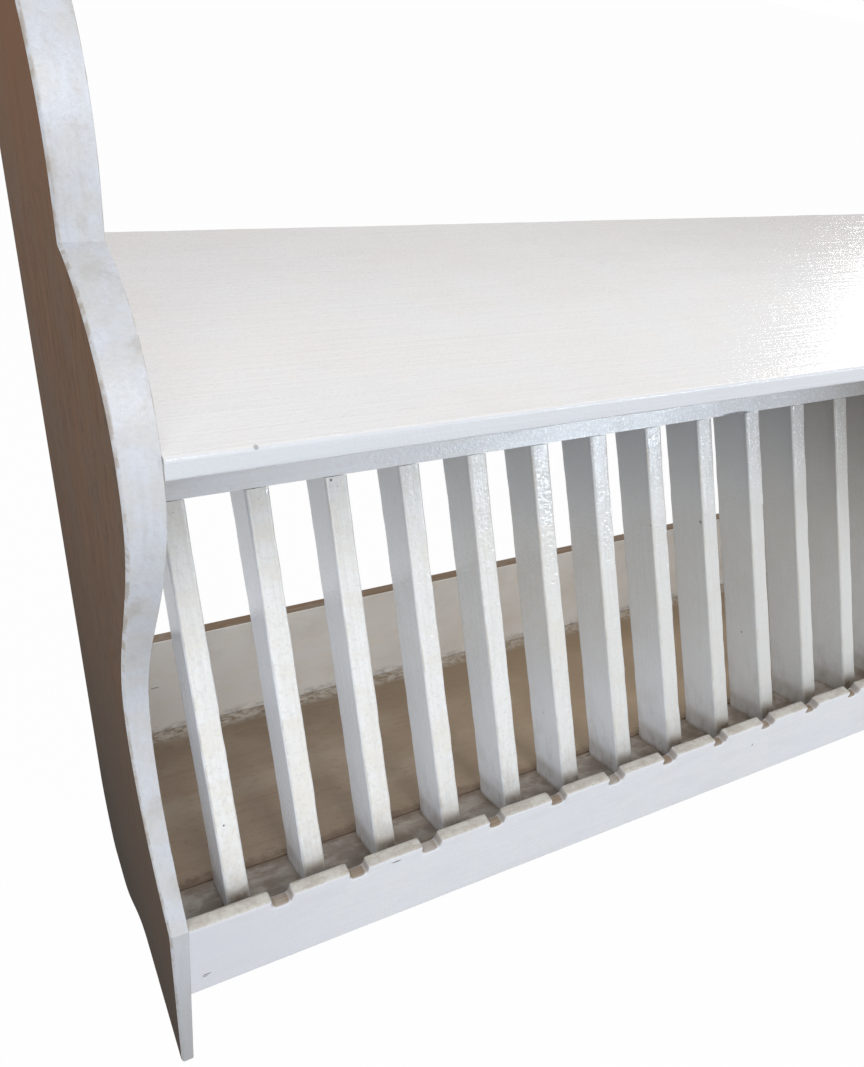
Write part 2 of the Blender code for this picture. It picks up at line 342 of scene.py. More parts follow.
class MaterialKit(NodeKit):
    """Builds one node material."""

    def __init__(self, name: str, lean: float = 0.0) -> None:
        """Start a material and take the measures that its ramps use.

        Args:
            name: The material's name.
            lean: Lean of the boards that it goes on.
        """
        self.material = bpy.data.materials.new(name)
        self.material.use_nodes = True
        super().__init__(self.material.node_tree)
        self.place = self.value("ShaderNodeTexCoord", output="Object")
        self.x, self.y, self.z = self.place.parts()
        self.above_tray = TRAY_PLANE.above(self.y, self.z)
        facing_x, self.facing_y, self.facing_z = self.value("ShaderNodeNewGeometry", output="Normal").parts()
        self.sideways = abs(facing_x)
        across = self.facing_y * math.cos(lean) - self.facing_z * math.sin(lean)
        along = self.facing_y * math.sin(lean) + self.facing_z * math.cos(lean)
        self.squarely = self.sideways.most(abs(across)).most(abs(along))

    def measured(self, sizes: Triple, turn: float = 0.0, origin: Triple = (0.0, 0.0, 0.0)) -> Socket:
        """Object coordinates from an origin, turned about X and in units of the given sizes."""
        sockets = {"Vector": self.place, "Location": origin, "Rotation": (-turn, 0.0, 0.0), "Scale": sizes}
        return self.value("ShaderNodeMapping", {"vector_type": "TEXTURE"}, sockets)

    def noise(self, cells: Cells) -> Socket:
        """Smooth noise about 0.5.

        Args:
            cells: Its cells.

        Returns:
            The noise.
        """
        sizes = cells.size if isinstance(cells.size, tuple) else (cells.size,) * 3
        sockets = {"Scale": 1.0, "Detail": cells.detail, "Roughness": cells.roughness}
        sockets["Vector"] = self.measured(sizes, cells.turn)
        return self.value("ShaderNodeTexNoise", None, sockets)

    def ramp(self, ramp: Ramp) -> Socket:
        """What a ramp gives at each point.

        Args:
            ramp: The ramp.

        Returns:
            The value.
        """
        if isinstance(ramp.along, Along):
            value = getattr(self, ramp.along.value)
        elif isinstance(ramp.along, Cells):
            value = self.noise(ramp.along)
        elif isinstance(ramp.along, Spot):
            local = self.measured(ramp.along.size, origin=ramp.along.place)
            value = self.value("ShaderNodeVectorMath", {"operation": "LENGTH"}, {0: local}, output="Value")
        else:
            value = self.total(ramp.along)
        if ramp.fray:
            value = value + self.noise(ramp.fray).swing(ramp.stray)
        kind = "LINEAR" if ramp.straight else "SMOOTHSTEP"
        sockets = {"Value": value, "From Min": ramp.start, "From Max": ramp.end}
        sockets.update({"To Min": ramp.first, "To Max": ramp.share})
        return self.value("ShaderNodeMapRange", {"interpolation_type": kind}, sockets)

    def total(self, terms: Terms) -> Value:
        """Sum of products of ramps."""
        return sum(math.prod(self.ramp(ramp) for ramp in term) for term in terms)

    def blend(self, blend: Blend) -> Paint:
        """Lay a blend's layers in turn.

        Args:
            blend: The ground and the layers.

        Returns:
            The colour.
        """
        colour: Paint = blend.ground
        for layer in blend.layers:
            over = self.blend(layer.colour) if isinstance(layer.colour, Blend) else layer.colour
            sockets = {0: self.total(layer.share), 6: rgba(colour), 7: rgba(over)}
            colour = self.value("ShaderNodeMix", {"data_type": "RGBA"}, sockets, output=2)
        return colour


@dataclass(frozen=True)
class Finish:
    """Old brushed gloss paint on wood, or wood that has lost it.

    Attributes:
        colour: Colour of the ground.
        layers: Tones, dirt, wear, marks, and painted light and shade over the coat.
        gloss: How it shines.
        worn: Where the gloss is gone.
        upright: Whether the brush strokes run up the piece, not along the rack.
        painted: Whether there is a coat of paint: thin between the bristles, flecked, yellowed in patches.
        stroke_relief: Height of the strokes, in units of the relief.
        pebble_relief: Height of the pebbled surface, likewise.
        peel: Size of the pebbles and of the flecks.
    """

    colour: Colour
    layers: Tuple[Layer, ...]
    gloss: Gloss = Gloss()
    worn: Terms = ()
    upright: bool = False
    painted: bool = True
    thin: Colour = (0.68, 0.67, 0.655)
    yellowed: Colour = CREAM
    stroke_length: float = 0.075
    stroke_width: float = 0.0026
    stroke_share: float = 0.45
    stroke_relief: float = 0.7
    pebble_relief: float = 0.9
    pebble_detail: float = 2.5
    peel: float = 0.0020
    fleck_share: float = 0.55
    patch: float = 0.016
    patch_share: float = 0.7

    def make(self, name: str, lean: float = 0.0) -> Material:
        """Make the material.

        Args:
            name: The material's name.
            lean: Lean of the pieces that it goes on.

        Returns:
            The material.
        """
        kit = MaterialKit(name, lean)
        long, short = self.stroke_length, self.stroke_width
        strokes = Cells((short, short, long) if self.upright else (long, short, short), turn=lean)
        coat = self.coat(strokes) if self.painted else ()
        pebble = kit.noise(Cells(self.peel, self.pebble_detail))
        relief = kit.noise(strokes) * self.stroke_relief + pebble * self.pebble_relief
        bump = {"Strength": 1.0, "Distance": self.gloss.relief, "Height": relief}
        worn = kit.total(self.worn) * self.gloss.worn
        sockets = {
            "Base Color": rgba(kit.blend(Blend(self.colour, coat + self.layers))),
            "Roughness": self.gloss.roughness + pebble.swing(self.gloss.spread) + worn,
            "Specular IOR Level": self.gloss.specular,
            "Normal": kit.value("ShaderNodeBump", None, bump),
        }
        shader = kit.value("ShaderNodeBsdfPrincipled", None, sockets)
        kit.node("ShaderNodeOutputMaterial", None, {0: shader})
        return kit.material

    def coat(self, strokes: Cells) -> Tuple[Layer, ...]:
        """Layers of the sound paint.

        Args:
            strokes: Noise drawn out along the grain, as a brush leaves it.

        Returns:
            The layers.
        """
        patches = weighed(Cells(self.patch), 0.6, Cells((0.11, 0.07, 0.07), 3.0, 0.5))
        return (
            cover(self.thin, Ramp(strokes, 0.40, 0.72, self.stroke_share)),
            cover(self.yellowed, Ramp(patches, 0.43, 0.62, self.patch_share)),
            cover(self.thin, Ramp(Cells(self.peel, 3.0, 0.7, 0.3), 0.48, 0.70, self.fleck_share)),
        )


# Slats: brushed upwards, dirty and in painted shade at the foot, rubbed on the arrises; painted shade
# towards the right end and under the shelf, painted light on the side faces, painted glints near the top,
# and a brown painted shadow at the right end
# painted shade: the slats grow darker towards the right end
RIGHTWARD_SHADE: Colour = (0.54, 0.53, 0.505)
# painted light on the slats' side faces
PAINTED_SIDE_LIGHT: Colour = (0.93, 0.95, 0.99)
ARRIS = Ramp(Along.SQUARELY, 0.985, 0.80)
SIDE = Ramp(Along.SIDEWAYS, 0.5, 0.9)
INWARDS = Ramp(Along.X, -0.35, -0.05)
LEFT = Ramp(Along.X, -0.12, 0.14, share=0.225, first=0.9)
# specks of painted glint
GLINT_SPECKS = Ramp(Cells(0.0015, 2.0), 0.52, 0.66, 0.5)
SLAT_CLOUD = Cells((0.012, 0.012, 0.022), 5.0, 0.65, SLAT_LEAN)
SLAT_CHAFE = Cells((0.006, 0.006, 0.018), turn=SLAT_LEAN)
SLAT_SPOTS = Cells((0.004, 0.004, 0.006), 2.0, 0.5, SLAT_LEAN)
# dirt and painted shade at the foot, darkest where the slat meets the floor
SLAT_FOOT_DIRT_AND_SHADE: Terms = (
    (
        Ramp(Along.ABOVE_TRAY, 0.021, 0.012, fray=SLAT_CLOUD, stray=0.012),
        Ramp(SLAT_CLOUD, 0.0, 1.0, share=1.02, first=0.32, straight=True),
        Ramp(Along.SIDEWAYS, 0.0, 1.0, share=0.4, first=1.0, straight=True),
    ),
    (Ramp(Along.ABOVE_TRAY, 0.080, 0.0), Ramp(SLAT_CLOUD, 0.40, 0.75, 0.28)),
    (Ramp(Along.ABOVE_TRAY, 0.004, 0.0, 0.35),),
)
SLAT_PAINT = Finish(
    colour=(0.80, 0.79, 0.775),
    thin=(0.63, 0.61, 0.575),
    gloss=Gloss(0.13, 0.7, 0.00036, worn=0.15),
    upright=True,
    peel=0.0026,
    fleck_share=0.6,
    patch_share=0.85,
    layers=(
        # painted shade, darker towards the right end
        cover(RIGHTWARD_SHADE, Ramp(Along.X, -0.38, 0.16, 0.75)),
        # painted light: side faces lighter, most near the left end and low down
        Layer(
            PAINTED_SIDE_LIGHT,
            (
                (SIDE, LEFT),
                (SIDE, LEFT, Ramp(Along.ABOVE_TRAY, 0.02, 0.17), Ramp(Along.X, -0.40, -0.14, -1.0)),
            ),
        ),
        # painted shade near the top, under the shelf, strongest on the side faces
        Layer(
            SHADE,
            (
                (Ramp(Along.ABOVE_TRAY, 0.15, 0.275, 0.10),),
                (Ramp(Along.ABOVE_TRAY, 0.15, 0.275, 0.26), INWARDS),
                (Ramp(Along.ABOVE_TRAY, 0.15, 0.275, 0.36), SIDE),
            ),
        ),
        # painted glints near the top of the front faces
        cover(GLINT, GLINT_SPECKS, Ramp(Along.ABOVE_TRAY, 0.19, 0.25), Ramp(Along.SIDEWAYS, 0.9, 0.5), INWARDS),
        # brown painted shadow on the slat tops at the right end
        cover(PAINTED_SHADOW, Ramp(Along.X, 0.06, 0.24), Ramp(Along.ABOVE_TRAY, 0.10, 0.27, 0.6)),
        # dirt and painted shade at the foot
        Layer(GRIME, SLAT_FOOT_DIRT_AND_SHADE),
        cover(RUBBED, ARRIS, Ramp(SLAT_CHAFE, 0.46, 0.66, 0.6)),
        cover(GRIME, Ramp(SLAT_SPOTS, 0.775, 0.80, 0.6)),
        mark((-0.301, -0.109, 0.266), (0.0012, 0.002, 0.0013)),
        mark((-0.4068, -0.2181, 0.0893), (0.0011, 0.002, 0.0009)),
        mark((0.0188, -0.1481, 0.1956), (0.0020, 0.0022, 0.0018), 0.55),
        mark((0.0727, -0.1929, 0.0965), (0.0020, 0.0013, 0.0013), 0.6),
    ),
    worn=(*SLAT_FOOT_DIRT_AND_SHADE, (ARRIS, Ramp(SLAT_CHAFE, 0.46, 0.66))),
)

# Boards along the rack
BOARD_CHAFE = Cells((0.02, 0.006, 0.006))
BOARD_RUB: Terms = ((ARRIS, Ramp(BOARD_CHAFE, 0.54, 0.68)),)


def board_wear(grime: Colour, dirt_share: float, rub_share: float) -> Tuple[Layer, Layer]:
    """Dirt and rubbed arrises of a board that runs along the rack.

    Args:
        grime: Colour of the dirt.
        dirt_share: How much of it shows.
        rub_share: How much the arrises are rubbed.

    Returns:
        The layers.
    """
    return (
        cover(grime, Ramp(Cells((0.05, 0.02, 0.02), 5.0, 0.62), 0.50, 0.75, dirt_share)),
        cover(RUBBED, ARRIS, Ramp(BOARD_CHAFE, 0.54, 0.68, rub_share)),
    )


# Top rail: the slats' gloss, with painted shade and painted glints away from its left end and a brown
# painted shadow towards the right end
TOP_RAIL_PAINT = Finish(
    colour=(0.74, 0.75, 0.785),
    gloss=Gloss(0.13, 0.6, 0.00036, worn=0.18),
    peel=0.0026,
    patch_share=0.2,
    layers=(
        # painted shade away from the left end
        cover(SHADE, Ramp(Along.X, -0.30, -0.15, 0.35)),
        # painted glints away from the left end
        cover(GLINT, GLINT_SPECKS, Ramp(Along.X, -0.30, -0.15)),
        # brown painted shadow towards the right end
        cover(PAINTED_SHADOW, Ramp(Along.X, 0.10, 0.26, 0.65)),
        *board_wear(GRIME, dirt_share=0.12, rub_share=0.3),
        mark((0.0612, -0.1075, 0.2684), (0.021, 0.004, 0.0016)),
    ),
    worn=BOARD_RUB,
)

# Shelf: cream on top, the front edge cooler and darker as painted shade, and darker along the back
SHELF_EDGE_SHADE: Colour = (0.60, 0.608, 0.632)
SHELF_BACK_DARK: Colour = (0.45, 0.41, 0.38)
SHELF_PAINT = Finish(
    colour=(0.80, 0.77, 0.757),
    thin=(0.71, 0.67, 0.64),
    yellowed=(0.80, 0.755, 0.70),
    gloss=Gloss(0.18, 0.5, 0.00028, worn=0.18),
    stroke_length=0.16,
    stroke_width=0.0034,
    stroke_share=0.22,
    stroke_relief=1.5,
    patch=0.05,
    fleck_share=0.25,
    layers=(
        # painted shade: the front edge cooler and darker
        cover(SHELF_EDGE_SHADE, Ramp(Along.FACING_Y, -0.15, -0.75, 0.9)),
        # darker along the back, more so towards the right
        cover(
            SHELF_BACK_DARK,
            Ramp(Along.Y, -0.20, 0.0, fray=Cells((0.09, 0.03, 0.03)), stray=0.08),
            Ramp(Along.X, -0.2, 0.35, share=0.90, first=0.35),
        ),
        *board_wear(GRIME, dirt_share=0.04, rub_share=0.15),
        mark((-0.4073, -0.2553, 0.3905), (0.0015, 0.002, 0.0013), 0.45),
    ),
    worn=BOARD_RUB,
)

# Slat sill: worn through to stained wood, darkest at its joint with the floor
JOINT_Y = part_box("slat_sill")[1].y
SILL_CLOUD = Cells((0.016, 0.012, 0.012), 5.0, 0.65)
SILL_GRIME: Colour = (0.15, 0.105, 0.072)
SILL_PAINT = Finish(
    colour=(0.41, 0.37, 0.325),
    thin=(0.30, 0.25, 0.20),
    yellowed=(0.31, 0.25, 0.19),
    gloss=Gloss(specular=0.3, worn=0.18),
    stroke_share=0.15,
    layers=(
        cover(SILL_GRIME, Ramp(Along.Y, JOINT_Y - 0.010, JOINT_Y, 0.9, fray=SILL_CLOUD, stray=0.02)),
        cover(SILL_GRIME, Ramp(Cells((0.024, 0.020, 0.020), 3.0, 0.55), 0.44, 0.62, 0.6)),
        *board_wear(SILL_GRIME, dirt_share=0.75, rub_share=0.3),
    ),
    worn=BOARD_RUB,
)

# Back rail: bare along its top edge and on the wall face, dirty where the floor meets it
BARE: Colour = (0.22, 0.135, 0.075)
RAW: Colour = (0.36, 0.265, 0.18)
BACK_CLOUD = Cells((0.05, 0.03, 0.03), 5.0, 0.62)
BACK_EDGE = Ramp(Along.FACING_Z, 0.5, 0.85)
RAW_FIBRES = Cells((0.18, 0.006, 0.006), 5.0, 0.65)
RAW_WOOD = Blend(RAW, (cover(BARE, Ramp(RAW_FIBRES, 0.40, 0.72, 0.6)),))
EDGE_WOOD = Blend(BARE, (cover(GRIME, Ramp(Cells((0.05, 0.0016, 0.0016)), 0.40, 0.68)),))
BACK_RAIL_PAINT = Finish(
    colour=(0.94, 0.915, 0.88),
    thin=(0.91, 0.875, 0.83),
    yellowed=(0.93, 0.885, 0.81),
    layers=(
        cover(GRIME, Ramp(BACK_CLOUD, 0.48, 0.78, 0.12)),
        cover(
            GRIME,
            Ramp(Along.ABOVE_TRAY, 0.011, 0.002),
            Ramp(Along.FACING_Y, -0.5, -0.9),
            Ramp(Cells((0.008, 0.004, 0.004), 5.0, 0.7), 0.40, 0.70, 0.55),
        ),
        cover(RAW_WOOD, Ramp(Along.FACING_Y, 0.5, 0.9), Ramp(BACK_CLOUD, -0.1429, 0.4286)),
        cover(EDGE_WOOD, BACK_EDGE, Ramp(BACK_CLOUD, -0.3, 0.5)),
        mark((-0.4009, -0.010, 0.0091), (0.0055, 0.003, 0.0006)),
    ),
    worn=((BACK_EDGE,),),
)

# Front rail: rubbed dull on the teeth, with brown wood in the notches
TOOTH_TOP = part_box("front_rail")[1].z
TOOTH_FOOT = TOOTH_TOP - NOTCH_DEPTH
CROWN_LOW = TOOTH_TOP - 0.62 * NOTCH_DEPTH
CROWN_HIGH = TOOTH_TOP - 0.45 * NOTCH_DEPTH
FRONT_COLOUR: Colour = (0.68, 0.685, 0.71)
FRONT_THIN: Colour = (0.61, 0.605, 0.615)
FRONT_END: Colour = (0.57, 0.565, 0.60)
CROWN_DULL: Colour = (0.60, 0.565, 0.51)
CROWN_DIRT: Colour = (0.42, 0.365, 0.30)
NOTCH_BROWN: Colour = (0.27, 0.20, 0.14)
FRONT_CLOUD = Cells((0.014, 0.008, 0.008), 5.0, 0.65)
FRONT_GRIT = Cells((0.0024, 0.0018, 0.0018), 4.0, 0.7)
UPWARDS = Ramp(Along.FACING_Z, 0.55, 0.92)
ON_CROWN = (UPWARDS, Ramp(Along.Z, CROWN_LOW, CROWN_HIGH))
NEAR_NOTCH = Ramp(Along.Z, TOOTH_FOOT - 0.004, TOOTH_FOOT + 0.003)
IN_NOTCH: Terms = (
    (NEAR_NOTCH, Ramp(Along.SIDEWAYS, 0.5, 0.85, 0.45)),
    (NEAR_NOTCH, UPWARDS, Ramp(Along.Z, CROWN_HIGH, CROWN_LOW)),
)
CROWN = Blend(
    CROWN_DULL,
    (
        cover(CROWN_DIRT, Ramp(weighed(FRONT_CLOUD, 0.6, FRONT_GRIT), 0.40, 0.62, 0.8)),
        cover(FRONT_COLOUR, Ramp(FRONT_CLOUD, 0.58, 0.74, 0.5)),
    ),
)
NOTCH_FIBRES = Cells((0.02, 0.0012, 0.0012), 3.0)
NOTCH_WOOD = Blend(NOTCH_BROWN, (cover(RUBBED, Ramp(NOTCH_FIBRES, 0.45, 0.85, 0.6)),))
FRONT_RAIL_PAINT = Finish(
    colour=FRONT_COLOUR,
    thin=FRONT_THIN,
    gloss=Gloss(worn=0.15),
    patch_share=0.2,
    layers=(
        cover(FRONT_THIN, Ramp(Cells((0.06, 0.02, 0.02)), 0.50, 0.72, 0.5)),
        cover(FRONT_END, Ramp(Along.X, -0.28, -0.46, 0.6)),
        cover(CROWN, *ON_CROWN),
        cover(NOTCH_WOOD, Ramp(IN_NOTCH, 0.1, 0.7), Ramp(FRONT_CLOUD, -0.3571, 0.4286)),
        cover(GRIME, Ramp(Along.FACING_Y, 0.4, 0.8, 0.5)),
        mark((-0.4337, -0.268, 0.0091), (0.0040, 0.003, 0.0010)),
        mark((-0.4350, -0.268, 0.0072), (0.0026, 0.003, 0.0007)),
        mark((-0.3029, -0.268, 0.0622), (0.0050, 0.003, 0.0010)),
        mark((0.0412, -0.268, 0.0412), (0.0011, 0.003, 0.0022)),
    ),
    worn=(ON_CROWN, *IN_NOTCH),
)

# Floor of the tray: paint scrubbed off, an even brown stain, and crumbs of paint along the back
STAIN_DARK: Colour = (0.22, 0.16, 0.11)
STAIN_PALE: Colour = (0.42, 0.35, 0.27)
STAIN_WARM: Colour = (0.45, 0.33, 0.21)
SEAM: Colour = (0.14, 0.092, 0.062)
TRAY_STROKE = 0.12
TRAY_FIBRE = 0.00416
SCRUB = Cells((0.008, 0.006, 0.006), 5.0, 0.7)
TRAY_WOOD = Finish(
    colour=(0.31, 0.235, 0.17),
    gloss=Gloss(0.67, 0.25),
    painted=False,
    stroke_length=TRAY_STROKE,
    stroke_width=TRAY_FIBRE,
    layers=(
        cover(STAIN_DARK, Ramp(Cells((TRAY_STROKE, TRAY_FIBRE, TRAY_FIBRE)), 0.40, 0.80, 0.35)),
        cover(STAIN_PALE, Ramp(Cells((0.10, 0.05, 0.05), 5.0), 0.44, 0.72, 0.6)),
        cover(STAIN_DARK, Ramp(SCRUB, 0.52, 0.72, 0.55)),
        cover(STAIN_WARM, Ramp(Along.X, -0.32, 0.0, 0.6)),
        cover(
            CREAM,
            Ramp(Along.Y, -0.034, -0.020),
            Ramp(Along.FACING_Z, 0.0, 0.6),
            Ramp(SCRUB, 0.36, 0.60, 0.75),
        ),
        cover(SEAM, Ramp(Along.Y, JOINT_Y + 0.012, JOINT_Y, 0.75, fray=SCRUB, stray=-0.02)),
    ),
)

# Inside and edge of a side board: handled and stained
STAIN: Colour = (0.36, 0.305, 0.25)
INSIDE: Colour = (0.78, 0.785, 0.80)
TAIL: Colour = (0.31, 0.315, 0.325)
ROUNDED = (Ramp(Along.SIDEWAYS, 0.15, 0.5), Ramp(Along.SIDEWAYS, 0.99, 0.9))
SIDE_CHAFE = Cells((0.006, 0.006, 0.012))
SIDE_PAINT = Finish(
    colour=(0.565, 0.575, 0.61),
    thin=(0.48, 0.475, 0.48),
    yellowed=(0.53, 0.51, 0.48),
    gloss=Gloss(worn=0.18),
    upright=True,
    layers=(
        cover(INSIDE, Ramp(Along.SIDEWAYS, 0.9, 0.99, 0.85)),
        cover(STAIN, *ROUNDED, Ramp(SIDE_CHAFE, 0.44, 0.62, 0.8)),
        cover(
            STAIN,
            Ramp(Cells((0.026, 0.026, 0.045), 5.0, 0.62), 0.50, 0.74),
            Ramp(Along.SIDEWAYS, 0.5, 0.9, share=0.15, first=0.6),
        ),
        cover(TAIL, Ramp(Along.Z, 0.17, -0.13, 0.85)),
        cover(STAIN, Ramp(Cells((0.003, 0.003, 0.004), 3.0), 0.52, 0.68, 0.6), Ramp(Along.Z, 0.03, -0.16)),
    ),
    worn=((*ROUNDED, Ramp(SIDE_CHAFE, 0.44, 0.62)),),
)

# Outside of a side board: brown wood under the scrubbed remains of a thin wash, redder at the ear, its brown
# kept dark in part as painted shade and darker still towards the bottom as painted shade
# dark grain, and painted shade towards the bottom
WASH_GRAIN_AND_SHADE: Colour = (0.066, 0.047, 0.034)
WASH_HAZE: Colour = (0.170, 0.114, 0.079)
WASH_EAR: Colour = (0.220, 0.108, 0.056)
# painted shade at the tail
WASH_TAIL_SHADE: Colour = (0.036, 0.027, 0.020)
OUTER_WASH = Finish(
    colour=(0.210, 0.118, 0.071),
    gloss=Gloss(0.79, 0.06, 0.00020),
    upright=True,
    painted=False,
    stroke_length=0.105,
    stroke_width=0.00364,
    layers=(
        cover(WASH_GRAIN_AND_SHADE, Ramp(Cells((0.005, 0.005, 0.08), 5.0, 0.7), 0.36, 0.70, 0.5)),
        cover(WASH_HAZE, Ramp(Cells((0.07, 0.07, 0.09)), 0.42, 0.62, 0.8)),
        cover(WASH_GRAIN_AND_SHADE, Ramp(Cells((0.008, 0.008, 0.010), 5.0, 0.7), 0.50, 0.70, 0.4)),
        # painted shade: darker towards the bottom
        cover(WASH_GRAIN_AND_SHADE, Ramp(Along.Z, 0.50, -0.12, 0.95)),
        cover(WASH_EAR, Ramp(Along.Z, 0.40, 0.53, 0.75)),
        # painted shade: darker still at the tail
        cover(WASH_TAIL_SHADE, Ramp(Along.Z, 0.02, -0.17, 0.6)),
    ),
)

# Nails and brads: plain drawn wire, dulled and rusted
RUST: Colour = (0.16, 0.09, 0.05)
WIRE_CLOUD = Cells(0.002, 3.0)
NAIL_WIRE = Finish(
    colour=(0.30, 0.27, 0.24),
    gloss=Gloss(0.45, relief=0.0001, spread=0.0),
    painted=False,
    stroke_relief=0.0,
    pebble_relief=1.0,
    pebble_detail=3.0,
    layers=(cover(RUST, Ramp(WIRE_CLOUD, 0.4, 0.65)),),
    worn=((Ramp(WIRE_CLOUD, 0.0, 1.0, straight=True),),),
)


def apply_modifier(piece: Piece, kind: str, **settings: Any) -> None:
    """Add one modifier to a piece and apply it.

    Args:
        piece: The piece.
        kind: The modifier's type.
        settings: The modifier's settings by name.
    """
    bpy.ops.object.select_all(action="DESELECT")
    piece.select_set(True)
    bpy.context.view_layer.objects.active = piece
    modifier = piece.modifiers.new(kind.lower(), kind)
    for key, value in settings.items():
        setattr(modifier, key, value)
    bpy.ops.object.modifier_apply(modifier=modifier.name)


def smooth(piece: Piece, angle: float) -> None:
    """Shade a piece smoothly across all edges blunter than an angle."""
    bpy.ops.object.shade_smooth_by_angle(angle=angle)
    apply_modifier(piece, "WEIGHTED_NORMAL", keep_sharp=True)


def pick_edges(mesh: Mesh, wanted: Callable[[Vector, Vector], bool]) -> None:
    """Select some edges of the active piece, and stay in edit mode.

    Args:
        mesh: The piece's mesh.
        wanted: Whether an edge between two points is selected.
    """
    bpy.ops.object.mode_set(mode="EDIT")
    bpy.ops.mesh.select_mode(type="EDGE")
    bpy.ops.mesh.select_all(action="DESELECT")
    bpy.ops.object.mode_set(mode="OBJECT")
    for edge in mesh.edges:
        first, last = (mesh.vertices[index].co for index in edge.vertices)
        edge.select = wanted(first, last)
    bpy.ops.object.mode_set(mode="EDIT")


def dress(piece: Piece, material: Material) -> None:
    """Give a piece one material."""
    piece.data.materials.clear()
    piece.data.materials.append(material)


def stand_for(piece: Piece, node: str) -> None:
    """Put a piece in the place of a CAD node.

    Args:
        piece: The new piece.
        node: The CAD node that it stands for.
    """
    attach(piece, BODY)
    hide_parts(node)
    LOG.info("%s stands for %s", piece.name, node)


@dataclass
class Board:
    """One sawn board with softened arrises.

    Attributes:
        name: The piece's name.
        size: Length along X, thickness or depth, and height, before it is leant.
        centre: Where its middle goes.
        lean: Turn about X, so that its height follows a leaning direction.
        arris: Width of the softened arrises.
        rows: Cuts across the long edges, which let the arrises waver.
        waver: Depth of the unevenness, always into the board and less towards its ends.
        unevenness: How many hollows there are in a metre.
        fade: Power by which the unevenness ends towards the board's ends.
        long_share: Share of the board's length from which an edge counts as long.
        smooth_angle: Angle of the sharpest edge that is shaded smoothly.
        cuts: Planes that end the board, each a point and the direction that is cut away.
    """

    name: str
    size: Triple
    centre: Vector
    lean: float = 0.0
    arris: float = 0.0026
    rows: int = 24
    waver: float = 0.0005
    unevenness: float = 60.0
    fade: int = 6
    long_share: float = 0.6
    smooth_angle: float = math.radians(32)
    cuts: Sequence[Tuple[Vector, Vector]] = ()

    @classmethod
    def fill(cls, node: str, lap: float, arris: float, rows: int, waver: float) -> Piece:
        """Model a level board in the place of a CAD node.

        Args:
            node: The CAD node.
            lap: How far each end reaches into its neighbour.
            arris: Width of the softened arrises.
            rows: Cuts across the long edges.
            waver: Depth of the unevenness.

        Returns:
            The board.
        """
        low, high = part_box(node)
        size = high - low + Vector((2 * lap, 0.0, 0.0))
        board = cls(f"{node}_painted", tuple(size), (low + high) / 2, arris=arris, rows=rows, waver=waver)
        return board.build()

    def build(self) -> Piece:
        """Model the board.

        Returns:
            The finished object, at the origin.
        """
        bpy.ops.object.select_all(action="DESELECT")
        bpy.ops.mesh.primitive_cube_add(size=1.0)
        piece = bpy.context.object
        piece.name = self.name
        piece.data.name = self.name
        turn = Euler((-self.lean, 0.0, 0.0)).to_matrix()
        stretch = Matrix.Diagonal((*self.size, 1.0))
        piece.matrix_world = Matrix.Translation(self.centre) @ turn.to_4x4() @ stretch
        bpy.ops.object.transform_apply(location=True, rotation=True, scale=True)
        bpy.ops.object.mode_set(mode="EDIT")
        for point, away in self.cuts:
            bpy.ops.mesh.select_all(action="SELECT")
            bpy.ops.mesh.bisect(plane_co=point, plane_no=away, use_fill=True, clear_outer=True)
        least = self.long_share * max(self.size)
        pick_edges(piece.data, lambda first, last: (last - first).length > least)
        if self.arris:
            bpy.ops.mesh.bevel(offset=self.arris, segments=ARRIS_SEGMENTS, affect="EDGES")
        pick_edges(piece.data, lambda first, last: (last - first).length > least)
        ends = len(piece.data.vertices)
        bpy.ops.mesh.subdivide(number_cuts=self.rows)
        bpy.ops.object.mode_set(mode="OBJECT")
        self.unsettle(piece.data, ends, turn)
        smooth(piece, self.smooth_angle)
        return piece

    def unsettle(self, mesh: Mesh, ends: int, turn: Matrix) -> None:
        """Move points into the board a little, as hand tools and wear leave them.

        Args:
            mesh: The board's mesh.
            ends: How many of its first points lie on its ends, which stay.
            turn: How the board is turned.
        """
        axis = max(range(3), key=lambda index: self.size[index])
        along = turn.col[axis]
        for vertex in list(mesh.vertices)[ends:]:
            reach = abs((vertex.co - self.centre).dot(along)) / (0.5 * self.size[axis])
            dip = 0.5 + 0.5 * noise.noise(vertex.co * self.unevenness)
            vertex.co -= vertex.normal * self.waver * dip * max(0.0, 1.0 - reach**self.fade)


